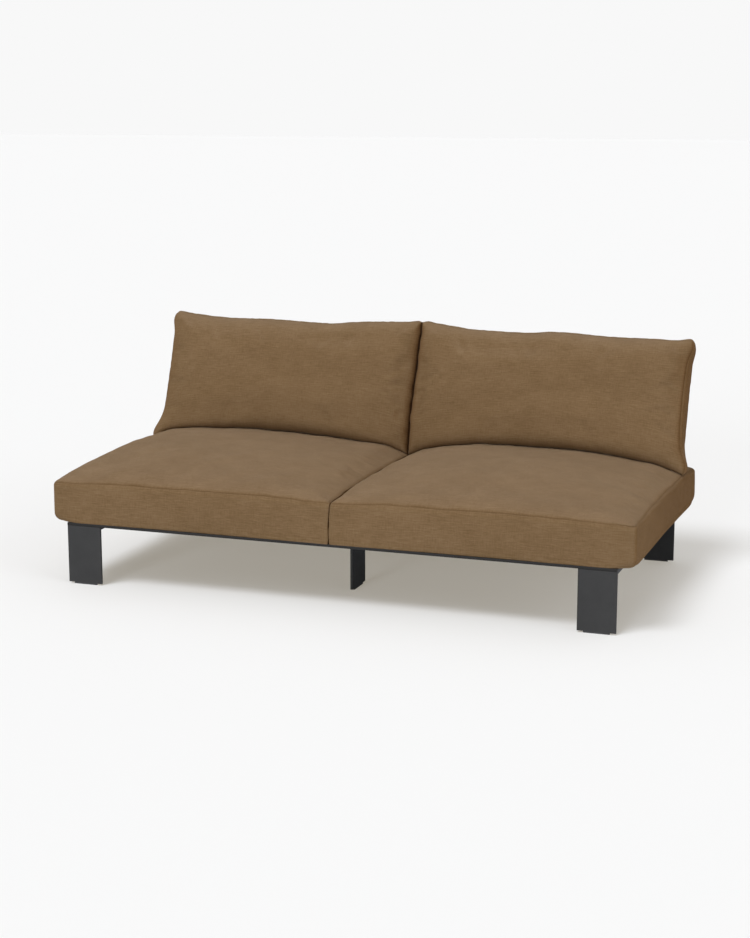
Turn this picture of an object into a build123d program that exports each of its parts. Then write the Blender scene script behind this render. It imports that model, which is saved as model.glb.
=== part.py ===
"""Outdoor sofa with a flat-bar base and backrest, two loose seat cushions and two loose back cushions.

Millimetres, +Z up, +X to the right and +Y to the rear as the sofa is seen from the front.
The origin is on the floor, in the middle of the sofa's width and depth.
"""

from build123d import *
import math
import os

os.makedirs("parts", exist_ok=True)

# Base frame of flat bar
frame_width = 1800.0
frame_depth = 1000.0
frame_underside = 192.5
bar_thickness = 8.0
rail_width = 100.0
slat_width = 50.0
slats_per_bay = 6
edge_bevel = 1.0

# Cross beams under the deck, set back from the frame's front and rear edges
beam_width = 40.0
beam_height = 25.0
beam_wall = 2.0
beam_end_setback = 40.0
front_beam_setback = 265.5
rear_beam_setback = 230.0
cap_flange = 2.0
cap_plug_length = 12.0
cap_plug_clearance = 0.2

# Leg plates
leg_width = 118.0
leg_thickness = 8.0
leg_flange_depth = 80.0
rear_leg_setback = 75.0
centre_leg_depth = 121.0
centre_flange_width = 80.0

# Glides under the leg plates
glide_length = 80.0
glide_height = 5.0
glide_side_setback = 0.5
tongue_length = 60.0
tongue_thickness = 3.0
tongue_height = 8.0
groove_side_clearance = 0.1
groove_end_clearance = 0.5

# Hexagon bolts, all of one kind
bolt_radius = 4.0
bolt_length = 15.0
head_across_flats = 13.0
head_height = 5.3
thread_clearance = 0.05
bolt_hole_clearance = 0.5
leg_bolt_spacing = 70.0
centre_bolt_spacing = 50.0

# Backrest
post_width = 60.0
post_thickness = 8.0
post_foot_depth = 80.0
post_spacing = 450.0
post_leg_gap = 77.0
post_top = 725.0
post_corner_radius = 6.0
back_rail_length = 1740.0
back_rail_thickness = 8.0
upper_rail_height = 65.0
lower_rail_height = 65.0
lower_rail_bottom = 450.0

# Seat cushions
cushion_clearance = 0.3
cushion_side_gap = 1.0
seat_overhang = 45.0
seat_rear_gap = 20.0
seat_depth = 980.0
seat_corner_radius = 30.0
seat_base_bevel = 10.0
seat_draw_in = 5.0
boxing_height = 130.0
seat_depth_crown = 76.0
seat_width_crown = 86.0

# Back cushions, in a frame that leans with the cushion: across its thickness, then up its face.
# The setback runs from the base of the cushion's front to the frame's rear edge.
back_overhang = 42.0
back_lean = 20.8
back_front_setback = 255.0
back_base_height = 337.0
back_face_height = 479.0
back_edge_thickness = 100.0
back_side_draw_in = 11.0
back_top_sag = 28.0
back_base_arch = 30.0
back_height_swell = 78.0
back_width_swell = 88.0

# Cover wall, filling and zips
cover_wall = 3.0
fill_clearance = 0.3
zip_length = 800.0
zip_tape_height = 24.0
zip_tape_thickness = 1.2
zip_coil_height = 6.0
zip_coil_thickness = 2.0
seat_zip_height = 62.0
back_zip_height = 132.0
slider_length = 14.0
slider_height = 11.0
slider_thickness = 4.6
slider_clearance = 0.3
slider_end_setback = 12.0
tab_width = 7.0
tab_length = 30.0
tab_thickness = 1.4
tab_end_radius = 2.5

# Overrun of every cutting or trimming body
overrun = 2.0

# Shape of a crown, as shares of half its span and of its height
shoulder_share = 0.62
shoulder_middle_share = 0.83
crown_power = 2.6

# Places worked out from the sizes above
overall_depth = frame_depth + post_thickness
front_y = -overall_depth / 2
rear_y = front_y + frame_depth
half_width = frame_width / 2
frame_top = frame_underside + bar_thickness
flange_underside = frame_underside - leg_thickness
beam_underside = frame_underside - beam_height
front_beam_y = front_y + front_beam_setback
rear_beam_y = rear_y - rear_beam_setback
leg_x = half_width - leg_width / 2
front_leg_y = front_y
rear_leg_y = rear_y - rear_leg_setback - leg_thickness
leg_bolt_setback = (leg_flange_depth + leg_thickness) / 2
post_bolt_y = rear_y - post_foot_depth / 2
back_rail_y = rear_y - back_rail_thickness
seat_base = frame_top + cushion_clearance
seat_rear_y = rear_y - seat_rear_gap
seat_front_y = seat_rear_y - seat_depth
seat_outer_x = half_width + seat_overhang
back_outer_x = half_width + back_overhang
inner_x = cushion_side_gap / 2
back_stop_y = back_rail_y - cushion_clearance

lean = math.radians(back_lean)
across_back = (0, math.cos(lean), -math.sin(lean))
up_back = (0, math.sin(lean), math.cos(lean))
back_origin = (rear_y - back_front_setback, back_base_height)

sides = {"left": -1, "right": 1}


def save(builder, name):
    """Label the finished piece and write it as its own file."""
    builder.part.label = name
    export_step(builder.part, f"parts/{name}.step")


def bolt_hole_radius():
    return bolt_radius + bolt_hole_clearance


def thread_radius():
    return bolt_radius + thread_clearance


def bar(name, low, high, length_axis, threads=()):
    """A straight flat bar between two opposite corners, with eased long edges and threaded holes."""
    size = [b - a for a, b in zip(low, high)]
    with BuildPart() as piece:
        with Locations(low):
            Box(*size, align=(Align.MIN, Align.MIN, Align.MIN))
        chamfer(piece.edges().filter_by(length_axis), edge_bevel)
        if threads:
            with Locations(*[(x, y, high[2]) for x, y in threads]):
                Hole(thread_radius(), depth=size[2])
    save(piece, name)


def leg_bolt_places(leg_y):
    """Bolt centres over one row of corner legs, seen from above."""
    places = []
    for side in sides.values():
        for share in (-0.5, 0.5):
            places.append((side * leg_x + share * leg_bolt_spacing, leg_y + leg_bolt_setback))
    return places


def post_places():
    """The four backrest posts' centre lines: the inner pair by their spacing, the outer by the legs."""
    inner = post_spacing / 2
    outer = half_width - leg_width - post_leg_gap - post_width / 2
    return [-outer, -inner, inner, outer]


def post_bolt_places():
    return [(x, post_bolt_y) for x in post_places()]


def centre_bolt_places(beam_y):
    return [(share * centre_bolt_spacing, beam_y) for share in (-0.5, 0.5)]


def make_rails():
    """The perimeter of the deck and its middle rail, butt-welded in one plane."""
    inner_front = front_y + rail_width
    inner_rear = rear_y - rail_width
    bar(
        "front_rail",
        (-half_width, front_y, frame_underside),
        (half_width, inner_front, frame_top),
        Axis.X,
        leg_bolt_places(front_leg_y),
    )
    bar(
        "rear_rail",
        (-half_width, inner_rear, frame_underside),
        (half_width, rear_y, frame_top),
        Axis.X,
        leg_bolt_places(rear_leg_y) + post_bolt_places(),
    )
    side_rail_x = half_width - rail_width / 2
    for name, x in {
        "left_side_rail": -side_rail_x,
        "centre_rail": 0,
        "right_side_rail": side_rail_x,
    }.items():
        bar(
            name,
            (x - rail_width / 2, inner_front, frame_underside),
            (x + rail_width / 2, inner_rear, frame_top),
            Axis.Y,
        )


def make_slats():
    """Front-to-back slats, spaced evenly between the middle rail and each side rail."""
    bay_width = half_width - rail_width * 1.5
    gap = (bay_width - slats_per_bay * slat_width) / (slats_per_bay + 1)
    for side_name, side in sides.items():
        for index in range(slats_per_bay):
            near = rail_width / 2 + gap + index * (slat_width + gap)
            x = sorted((side * near, side * (near + slat_width)))
            bar(
                f"{side_name}_deck_slat_{index + 1}",
                (x[0], front_y + rail_width, frame_underside),
                (x[1], rear_y - rail_width, frame_top),
                Axis.Y,
            )


def make_beam(name, beam_y):
    """A rectangular tube under the deck, drilled for the bolts of its middle leg."""
    beam_end = half_width - beam_end_setback
    with BuildPart() as beam:
        with BuildSketch(Plane.YZ.offset(-beam_end)):
            with Locations((beam_y, beam_underside + beam_height / 2)):
                Rectangle(beam_width, beam_height)
                Rectangle(beam_width - 2 * beam_wall, beam_height - 2 * beam_wall, mode=Mode.SUBTRACT)
        extrude(amount=2 * beam_end)
        with Locations(*[(x, y, beam_underside + beam_wall) for x, y in centre_bolt_places(beam_y)]):
            Hole(thread_radius(), depth=beam_wall)
    save(beam, name)


def make_beam_caps():
    """Plugs that close the four tube ends, each with a flange that covers the tube's wall."""
    beam_end = half_width - beam_end_setback
    slack = 2 * (beam_wall + cap_plug_clearance)
    with BuildPart() as caps:
        for side in sides.values():
            for beam_y in (front_beam_y, rear_beam_y):
                with BuildSketch(Plane.YZ.offset(side * beam_end)):
                    with Locations((beam_y, beam_underside + beam_height / 2)):
                        Rectangle(beam_width, beam_height)
                extrude(amount=side * cap_flange)
                with BuildSketch(Plane.YZ.offset(side * beam_end)):
                    with Locations((beam_y, beam_underside + beam_height / 2)):
                        Rectangle(beam_width - slack, beam_height - slack)
                extrude(amount=-side * cap_plug_length)
    save(caps, "beam_end_caps")


def plan_size(length, thickness, along_x):
    """A strip's size along X and Y."""
    return (length, thickness) if along_x else (thickness, length)


def glide_groove(x, y, along_x):
    """Cut the groove that takes a glide's tongue out of the foot of the leg being made."""
    length = tongue_length + 2 * groove_end_clearance
    thickness = tongue_thickness + 2 * groove_side_clearance
    with Locations((x, y, glide_height)):
        Box(
            *plan_size(length, thickness, along_x),
            tongue_height + groove_end_clearance,
            align=(Align.CENTER, Align.CENTER, Align.MIN),
            mode=Mode.SUBTRACT,
        )


def make_corner_leg(name, x, face_y):
    """A leg plate that faces forward, welded to a flange that bolts under the rail."""
    plate_rear = face_y + leg_thickness
    flange_rear = face_y + leg_flange_depth
    with BuildPart() as leg:
        with BuildSketch(Plane.YZ.offset(x - leg_width / 2)):
            with BuildLine():
                Polyline(
                    (face_y, glide_height),
                    (face_y, frame_underside),
                    (flange_rear, frame_underside),
                    (flange_rear, flange_underside),
                    (plate_rear, flange_underside),
                    (plate_rear, glide_height),
                    close=True,
                )
            make_face()
        extrude(amount=leg_width)
        chamfer(leg.edges().filter_by(Axis.Z), edge_bevel)
        bolt_y = face_y + leg_bolt_setback
        bolt_x = [x + share * leg_bolt_spacing for share in (-0.5, 0.5)]
        with Locations(*[(place, bolt_y, frame_underside) for place in bolt_x]):
            Hole(bolt_hole_radius(), depth=leg_thickness)
        glide_groove(x, face_y + leg_thickness / 2, True)
    save(leg, name)


def make_centre_leg(name, beam_y):
    """A leg plate turned edge-on to the front, under a flange that bolts to the beam."""
    flange_top = beam_underside
    flange_low = beam_underside - leg_thickness
    plate_side = leg_thickness / 2
    flange_side = centre_flange_width / 2
    with BuildPart() as leg:
        with BuildSketch(Plane.XZ.offset(-beam_y - centre_leg_depth / 2)):
            with BuildLine():
                Polyline(
                    (-plate_side, glide_height),
                    (-plate_side, flange_low),
                    (-flange_side, flange_low),
                    (-flange_side, flange_top),
                    (flange_side, flange_top),
                    (flange_side, flange_low),
                    (plate_side, flange_low),
                    (plate_side, glide_height),
                    close=True,
                )
            make_face()
        extrude(amount=centre_leg_depth)
        chamfer(leg.edges().filter_by(Axis.Z), edge_bevel)
        with Locations(*[(x, y, flange_top) for x, y in centre_bolt_places(beam_y)]):
            Hole(bolt_hole_radius(), depth=leg_thickness)
        glide_groove(0, beam_y, False)
    save(leg, name)


def make_glide(name, x, y, along_x):
    """A nylon strip under a leg plate's foot, with a tongue that presses into the foot's groove."""
    strip_thickness = leg_thickness - 2 * glide_side_setback
    with BuildPart() as glide:
        with BuildSketch(Plane.XY):
            with Locations((x, y)):
                Rectangle(*plan_size(glide_length, strip_thickness, along_x))
        extrude(amount=glide_height)
        chamfer(glide.edges().filter_by(Axis.Z), edge_bevel)
        with BuildSketch(Plane.XY.offset(glide_height)):
            with Locations((x, y)):
                Rectangle(*plan_size(tongue_length, tongue_thickness, along_x))
        extrude(amount=tongue_height)
    save(glide, name)


def make_legs():
    for side_name, side in sides.items():
        for row, face_y in {"front": front_leg_y, "rear": rear_leg_y}.items():
            make_corner_leg(f"{row}_{side_name}_leg", side * leg_x, face_y)
            plate_y = face_y + leg_thickness / 2
            make_glide(f"{row}_{side_name}_glide", side * leg_x, plate_y, True)
    for row, beam_y in {"front": front_beam_y, "rear": rear_beam_y}.items():
        make_centre_leg(f"{row}_centre_leg", beam_y)
        make_glide(f"{row}_centre_glide", 0, beam_y, False)


def make_bolts(name, places):
    """Hexagon bolts whose heads seat upward against a flange, one solid each."""
    with BuildPart() as bolts:
        for x, y, seat_z in places:
            with BuildSketch(Plane.XY.offset(seat_z - head_height)):
                with Locations((x, y)):
                    RegularPolygon(head_across_flats / 2, 6, major_radius=False)
            extrude(amount=head_height)
            with BuildSketch(Plane.XY.offset(seat_z)):
                with Locations((x, y)):
                    Circle(bolt_radius)
            extrude(amount=bolt_length)
    save(bolts, name)


def make_post(name, x):
    """A backrest post with a foot that turns forward under the rear rail."""
    post_rear = rear_y + post_thickness
    foot_front = rear_y - post_foot_depth
    foot_underside = frame_underside - post_thickness
    with BuildPart() as post:
        with BuildSketch(Plane.YZ.offset(x - post_width / 2)):
            with BuildLine():
                Polyline(
                    (foot_front, foot_underside),
                    (foot_front, frame_underside),
                    (rear_y, frame_underside),
                    (rear_y, post_top),
                    (post_rear, post_top),
                    (post_rear, foot_underside),
                    close=True,
                )
            make_face()
        extrude(amount=post_width)
        fillet(post.edges().filter_by(Axis.Y).group_by(Axis.Z)[-1], post_corner_radius)
        with Locations((x, post_bolt_y, frame_underside)):
            Hole(bolt_hole_radius(), depth=post_thickness)
    save(post, name)


def make_back_rail(name, bottom, height):
    """A flat bar with rounded ends, welded across the fronts of the posts."""
    with BuildPart() as rail:
        with BuildSketch(Plane.XZ.offset(-rear_y)):
            with Locations((0, bottom + height / 2)):
                RectangleRounded(back_rail_length, height, post_corner_radius)
        extrude(amount=back_rail_thickness)
    save(rail, name)


def make_backrest():
    names = ("outer_left", "inner_left", "inner_right", "outer_right")
    for name, x in zip(names, post_places()):
        make_post(f"{name}_back_post", x)
    make_back_rail("upper_back_rail", post_top - upper_rail_height, upper_rail_height)
    make_back_rail("lower_back_rail", lower_rail_bottom, lower_rail_height)


def crown_height(share):
    """Height of a crown at a share of its half span, as a share of its greatest height."""
    return 1 - abs(share) ** crown_power


def crowned_profile(plane, half_span, low, seam, crown):
    """A profile that is flat below and rises over both shoulders to a crown above its seams."""
    marks = (-1, -shoulder_middle_share, -shoulder_share, 0, shoulder_share, shoulder_middle_share, 1)
    points = [(mark * half_span, seam + crown * crown_height(mark)) for mark in marks]
    with BuildSketch(plane) as profile:
        with BuildLine():
            for start in range(0, len(points) - 1, 2):
                ThreePointArc(*points[start : start + 3])
            Polyline(points[-1], (half_span, low), (-half_span, low), points[0])
        make_face()
    return profile.sketch


def seat_form(side, inset):
    """The outside of a seat cushion, or the form that lies inset inside it."""
    x = sorted((side * (inner_x + inset), side * (seat_outer_x - inset)))
    y = (seat_front_y + inset, seat_rear_y - inset)
    middle = ((x[0] + x[1]) / 2, (y[0] + y[1]) / 2)
    half_span_x = (x[1] - x[0]) / 2 + overrun
    half_span_y = (y[1] - y[0]) / 2 + overrun
    base = seat_base + inset
    low = base - overrun
    seam = seat_base + boxing_height - inset
    across_plane = Plane(origin=(*middle, 0), x_dir=(1, 0, 0), z_dir=(0, -1, 0))
    along_plane = Plane(origin=(*middle, 0), x_dir=(0, 1, 0), z_dir=(1, 0, 0))
    across = crowned_profile(across_plane, half_span_x, low, seam, seat_width_crown)
    along = crowned_profile(along_plane, half_span_y, low, seam, seat_depth_crown)
    with BuildPart() as form:
        with BuildSketch(Plane.XY.offset(base)) as plan:
            with BuildLine():
                ThreePointArc((x[0], y[0]), (middle[0], y[0] + seat_draw_in), (x[1], y[0]))
                ThreePointArc((x[1], y[0]), (x[1] - seat_draw_in, middle[1]), (x[1], y[1]))
                Line((x[1], y[1]), (x[0], y[1]))
                ThreePointArc((x[0], y[1]), (x[0] + seat_draw_in, middle[1]), (x[0], y[0]))
            make_face()
            fillet(plan.vertices(), seat_corner_radius - inset)
        extrude(amount=boxing_height + seat_width_crown + overrun)
        chamfer(form.faces().sort_by(Axis.Z)[0].edges(), seat_base_bevel)
        extrude(across, amount=half_span_y, both=True, mode=Mode.INTERSECT)
        extrude(along, amount=half_span_x, both=True, mode=Mode.INTERSECT)
    return form.part


def back_form(side, inset, seat):
    """The outside of a back cushion where it sits on the seat form, or the form inset inside it."""
    x = sorted((side * (inner_x + inset), side * (back_outer_x - inset)))
    low = inset
    high = back_face_height - inset
    middle = ((x[0] + x[1]) / 2, (low + high) / 2)
    half_width = (x[1] - x[0]) / 2 + overrun
    half_height = (high - low) / 2 + overrun
    forward = tuple(-c for c in across_back)
    downward = tuple(-c for c in up_back)
    centre = Vector(middle[0], *back_origin) + Vector(*up_back) * middle[1]
    face_plane = Plane(origin=(0, *back_origin), x_dir=(1, 0, 0), z_dir=forward)
    across_plane = Plane(origin=centre, x_dir=(1, 0, 0), z_dir=downward)
    along_plane = Plane(origin=centre, x_dir=up_back, z_dir=(1, 0, 0))
    rear = inset - back_edge_thickness
    across = crowned_profile(across_plane, half_width, rear - overrun, -inset, back_width_swell)
    along = crowned_profile(along_plane, half_height, rear - overrun, -inset, back_height_swell)
    with BuildPart() as form:
        with BuildSketch(face_plane.offset(rear)):
            with BuildLine():
                ThreePointArc((x[0], low), (middle[0], low + back_base_arch), (x[1], low))
                ThreePointArc((x[1], low), (x[1] - back_side_draw_in, middle[1]), (x[1], high))
                ThreePointArc((x[1], high), (middle[0], high - back_top_sag), (x[0], high))
                ThreePointArc((x[0], high), (x[0] + back_side_draw_in, middle[1]), (x[0], low))
            make_face()
        extrude(amount=back_edge_thickness + back_width_swell + overrun)
        extrude(across, amount=half_height, both=True, mode=Mode.INTERSECT)
        extrude(along, amount=half_width, both=True, mode=Mode.INTERSECT)
        add(seat.moved(Location((0, 0, cushion_clearance + inset))), mode=Mode.SUBTRACT)
        split(bisect_by=Plane.XZ.offset(inset - back_stop_y), keep=Keep.TOP)
    return form.part


def make_shell(name, outside, cavity):
    """A cushion cover: the outside form less the cavity that its filling takes up."""
    with BuildPart() as cover:
        add(outside)
        add(cavity, mode=Mode.SUBTRACT)
    save(cover, name)


def make_fill(name, form):
    with BuildPart() as fill:
        add(form)
    save(fill, name)


def zip_plane(x, y, z, lean_angle):
    """A plane that lies on a cushion's rear face, with its normal pointing away from the cushion."""
    normal = (0, math.cos(lean_angle), -math.sin(lean_angle))
    return Plane(origin=(x, y, z), x_dir=(-1, 0, 0), z_dir=normal)


def make_zip(name, plane):
    """A closed zip: a flat tape with the coil standing along its middle."""
    with BuildPart(plane) as closure:
        with BuildSketch(plane):
            Rectangle(zip_length, zip_tape_height)
        extrude(amount=zip_tape_thickness)
        with BuildSketch(plane.offset(zip_tape_thickness)):
            Rectangle(zip_length - 2 * slider_end_setback, zip_coil_height)
        extrude(amount=zip_coil_thickness)
    save(closure, name)


def make_slider(name, plane, closed_side):
    """A zip slider that straddles the coil at the closed end, with its pull tab hanging down."""
    centre = -closed_side * (zip_length / 2 - slider_end_setback - slider_length / 2)
    low = zip_tape_thickness + slider_clearance
    channel_height = zip_coil_height + 2 * slider_clearance
    channel_depth = zip_coil_thickness
    with BuildPart() as slider:
        with BuildSketch(plane.offset(low)):
            with Locations((centre, 0)):
                Rectangle(slider_length, slider_height)
        extrude(amount=slider_thickness)
        with BuildSketch(plane.offset(low)):
            with Locations((centre, 0)):
                Rectangle(slider_length, channel_height)
        extrude(amount=channel_depth, mode=Mode.SUBTRACT)
        with BuildSketch(plane.offset(low + slider_thickness - tab_thickness)):
            with Locations((centre, -tab_length / 2)):
                RectangleRounded(tab_width, tab_length, tab_end_radius)
        extrude(amount=tab_thickness)
    save(slider, name)


def make_cushions():
    seat_fill_inset = cover_wall + fill_clearance
    for side_name, side in sides.items():
        seat_outside = seat_form(side, 0)
        seat_cavity = seat_form(side, cover_wall)
        make_shell(f"{side_name}_seat_cover", seat_outside, seat_cavity)
        make_fill(f"{side_name}_seat_foam", seat_form(side, seat_fill_inset))
        back_outside = back_form(side, 0, seat_outside)
        back_cavity = back_form(side, cover_wall, seat_outside)
        make_shell(f"{side_name}_back_cover", back_outside, back_cavity)
        make_fill(f"{side_name}_back_fill", back_form(side, seat_fill_inset, seat_outside))
        seat_x = side * (inner_x + seat_outer_x) / 2
        seat_plane = zip_plane(seat_x, seat_rear_y, seat_base + seat_zip_height, 0)
        make_zip(f"{side_name}_seat_zip", seat_plane)
        make_slider(f"{side_name}_seat_zip_slider", seat_plane, side)
        back_x = side * (inner_x + back_outer_x) / 2
        back_y = back_origin[0] + back_edge_thickness * across_back[1] + back_zip_height * up_back[1]
        back_z = back_origin[1] + back_edge_thickness * across_back[2] + back_zip_height * up_back[2]
        back_zip_plane = zip_plane(back_x, back_y, back_z, lean)
        make_zip(f"{side_name}_back_zip", back_zip_plane)
        make_slider(f"{side_name}_back_zip_slider", back_zip_plane, side)


make_rails()
make_slats()
make_beam("front_beam", front_beam_y)
make_beam("rear_beam", rear_beam_y)
make_beam_caps()
make_legs()
corner_bolts = leg_bolt_places(front_leg_y) + leg_bolt_places(rear_leg_y)
middle_bolts = centre_bolt_places(front_beam_y) + centre_bolt_places(rear_beam_y)
leg_bolt_seats = [(x, y, flange_underside) for x, y in corner_bolts]
leg_bolt_seats += [(x, y, beam_underside - leg_thickness) for x, y in middle_bolts]
make_bolts("leg_bolts", leg_bolt_seats)
make_backrest()
make_bolts("post_bolts", [(x, y, frame_underside - post_thickness) for x, y in post_bolt_places()])
make_cushions()
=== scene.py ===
"""Outdoor sofa: finishes of its frame, its four cushions, the studio and the camera.

Metres, +Z up, +X to the right and +Y to the rear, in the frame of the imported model.
"""

import math

import bpy
import numpy as np
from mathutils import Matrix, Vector
from mathutils.bvhtree import BVHTree


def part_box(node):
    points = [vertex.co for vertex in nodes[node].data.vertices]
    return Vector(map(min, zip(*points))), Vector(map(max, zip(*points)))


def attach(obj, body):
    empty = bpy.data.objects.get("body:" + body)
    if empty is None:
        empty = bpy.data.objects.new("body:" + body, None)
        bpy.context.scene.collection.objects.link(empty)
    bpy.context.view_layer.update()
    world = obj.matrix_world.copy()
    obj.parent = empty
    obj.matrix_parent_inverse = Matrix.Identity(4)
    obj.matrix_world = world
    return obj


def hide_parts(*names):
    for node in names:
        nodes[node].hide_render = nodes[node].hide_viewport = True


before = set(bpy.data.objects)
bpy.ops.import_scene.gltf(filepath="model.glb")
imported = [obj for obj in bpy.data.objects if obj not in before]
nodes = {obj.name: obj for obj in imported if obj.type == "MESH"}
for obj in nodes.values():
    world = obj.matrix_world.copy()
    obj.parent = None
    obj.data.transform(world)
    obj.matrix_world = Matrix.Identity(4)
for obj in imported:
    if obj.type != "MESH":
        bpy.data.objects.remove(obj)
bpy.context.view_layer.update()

SIDES = {"left": -1.0, "right": 1.0}

# Material slot of a node, by the end of its name
SLOT_ENDINGS = {
    "_glide": "glide_nylon",
    "_caps": "cap_plastic",
    "_bolts": "bolt_steel",
    "_slider": "slider_metal",
    "_zip": "zip_tape",
    "_cover": "cover_fabric",
    "_foam": "foam",
    "_fill": "fibre_fill",
}

# Lattice that every cushion is made on
CELL = 0.009
SEAM_ROWS = (0.0, 0.0012, 0.0032, 0.0065, 0.011, 0.017)
HEM_ROWS = (-0.0012, 0.0, 0.0012, 0.004, 0.009)
BASE_ROW_SHARES = (0.0, 0.08, 0.2, 0.45, 1.0)
ON_EDGE = 1e-6
TINY = 1e-9
TINY_AREA = 1e-12
FAR_FROM_SEAM = 1.0

# Soft seeded noise
DRIFT_WAVES = 6
DRIFT_PITCHES = (0.7, 1.5)
DRIFT_DIVISOR = 3

# Cloth that settles each cover over its filling
SIM_CELL = 0.016
SIM_FRAMES = 20
SIM_GATHERS = {"seat": 0.012, "back": 0.020}
SIM_CAPS = {"seat": 0.006, "back": 0.010}
SIM_EDGE_SHARES = {"seat": 0.6, "back": 0.3}
SIM_EDGE_REACH = 0.045
SIM_FOOT_CALM = 0.7
SIM_SWELL_SHARE = 0.25
SIM_SMOOTH_ROUNDS = 25
SIM_GATHER_REACH = 0.012
SIM_CALM_GATHER = (0.5, 0.9)
SIM_CALM_MOVES = (0.40, 0.75)
SIM_CLOTH = {
    "quality": 5,
    "mass": 0.25,
    "tension_stiffness": 18,
    "compression_stiffness": 18,
    "shear_stiffness": 6,
    "bending_stiffness": 0.35,
    "use_pressure": True,
    "uniform_pressure_force": 4.0,
    "shrink_min": -0.012,
    "vertex_group_shrink": "gather",
    "vertex_group_mass": "pinned",
}

# Seams
SEAM_DEPTH = 0.0024
SEAM_SPREAD = 0.0030
HEM_SOFTNESS = 0.0050
PUCKER_HEIGHT = 0.0005
PUCKER_PITCH = 0.024
PUCKER_REACH = 0.016
PUCKER_SEAM_CLEAR = 0.005
PUCKER_SLANT = 0.3
PUCKER_SHIFT = {"size": 0.19, "most": 1.4, "seed": 40}
PUCKER_SECOND = {"pitch": 1.71, "share": 0.7}
PUCKER_GROUP_PITCH = 0.27

# Seat cushions
SEAT_BOXING = 0.130
SEAT_CORNERS = {"outer_front": 0.016, "inner_front": 0.009, "outer_rear": 0.024, "inner_rear": 0.012}
SEAT_BASE_EDGE = 0.012
SEAT_FRONT_BASE_EDGE = 0.005
SEAT_OVERHANG = 0.0034
SEAT_HEM_DROP = 0.0045
SEAT_REAR_DROP = {"left": 0.0, "right": 0.012}
SEAT_CORNER_EDGE = 0.014
SEAT_CORNER_REACH = 0.050
SEAT_CORNER_TRIM = {"share": 0.5, "most": 0.008}
SEAT_TOP_EDGE = 0.0035
SEAT_TOP_EDGE_REACH = 0.012
SEAT_HEM = 0.016
SEAT_HEM_BAND = (0.002, 0.02)
SEAT_DROP_BANDS = ((0.6, 1.0), (0.7, 1.0))
SEAT_BULGE = 0.0045
SEAT_BULGE_FADE = (0.2, 0.9)
SEAT_INNER_BULGE = (0.15, 0.85)
SEAT_SPREAD = 0.008
SEAT_REAR_SPREAD = 0.006
SEAT_DRAW_IN = 0.004
SEAT_FRONT_ARCH = 0.007
SEAT_PUFF = 0.012
SEAT_PUFF_REACH = 0.020
SEAT_CORNER_CALM = 0.8
SEAT_CALM_REACH = 0.11
SEAT_RISE_POWER = 2.6

SEAT_ARCHES = {"left": 0.030, "right": 0.0, "inner": 0.014}
SEAT_POWERS = {"left": 3.0, "right": 2.3, "inner": 2.4}

# Back cushions
BACK_LEAN = math.radians(20.8)
BACK_EDGE = 0.100
BACK_HEIGHT = 0.479
BACK_FOOT = (0.241, 0.337)
BACK_STOP = 0.4872
BACK_CORNER = 0.024
BACK_REAR_EDGE = 0.010
BACK_FRONT_EDGE = 0.003
BACK_FRONT_EDGE_REACH = 0.012
BACK_CORNER_TRIM = 0.5
BACK_HEM = 0.013
BACK_SWELL = 0.078
BACK_PUFF = 0.020
BACK_PUFF_REACH = 0.022
BACK_INNER_SHOULDER = 2.6
BACK_REAR_NARROWING = 0.004
BACK_NARROWING_POWER = 4
BACK_UNDERCUT = (0.009, 0.005)
BACK_BULGE = 0.009
BACK_DRAW_IN = {"outer": 0.010, "inner": 0.0}
BACK_FOOT_ARCH = 0.040
BACK_FOOT_BAND = (-0.4, 1.0)
BACK_TOP_BAND = (-0.6, 1.0)
BACK_FLARES = {"left": 0.021, "right": 0.010}
BACK_FLARE_BAND = (0.48, 0.9)
BACK_FLARE_POWER = 6
BACK_RISE_POWERS = {"across": 3.0, "top": 11.0, "foot": 16.0}
BACK_EAR = 0.009
BACK_EAR_HEIGHT = 0.6
BACK_KNOB = 1.1
BACK_KNOB_SHARES = (0.3, 0.7)
BACK_EAR_DROP = 0.032
BACK_EAR_REACH = 0.030
BACK_HEEL_LIFT = 0.018
BACK_HEEL_REACH = 0.045
BACK_CORNER_SINK = 0.016
BACK_CORNER_SINK_REACH = 0.07
BACK_GAP = 0.0012
BACK_CONTACT_TOP = 0.45
ABOVE_SEATS = 1.0

TOP_CURVE_PLACES = (-1.2, 1.2, 241)
TOP_CURVE_WINDOW = 19

# Height of each back cushion's top edge over its base height, at shares of its half width from left to right
BACK_TOPS = {
    "left": (
        (-1.0, 0.004), (-0.93, 0.004), (-0.79, -0.007), (-0.57, -0.017), (-0.16, -0.016), (0.07, -0.021),
        (0.32, -0.024), (0.46, -0.014), (0.68, -0.006), (0.9, 0.001), (1.0, 0.005),
    ),
    "right": (
        (-1.0, 0.005), (-0.95, 0.004), (-0.84, -0.005), (-0.64, -0.021), (-0.28, -0.026), (-0.13, -0.026),
        (-0.04, -0.018), (0.08, -0.018), (0.22, -0.022), (0.46, -0.029), (0.66, -0.025), (0.81, -0.026),
        (0.95, -0.022), (1.0, -0.014),
    ),
}

# Where the cushions of the two sides meet
MEETING_GAP = 0.0004
MEETING_EASE = 0.0014
MEETING_WAVE = 0.0022
MEETING_PITCH = 0.31
MEETING_PHASE = 1.0
MEETING_RIPPLE = {"share": 0.4, "pitch": 0.11, "slant": 9.0}
MEETING_LOOSENESS = {"even": 1.2, "size": 0.055, "seed": 60}
MEETING_SLOPE = 1.25

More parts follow.
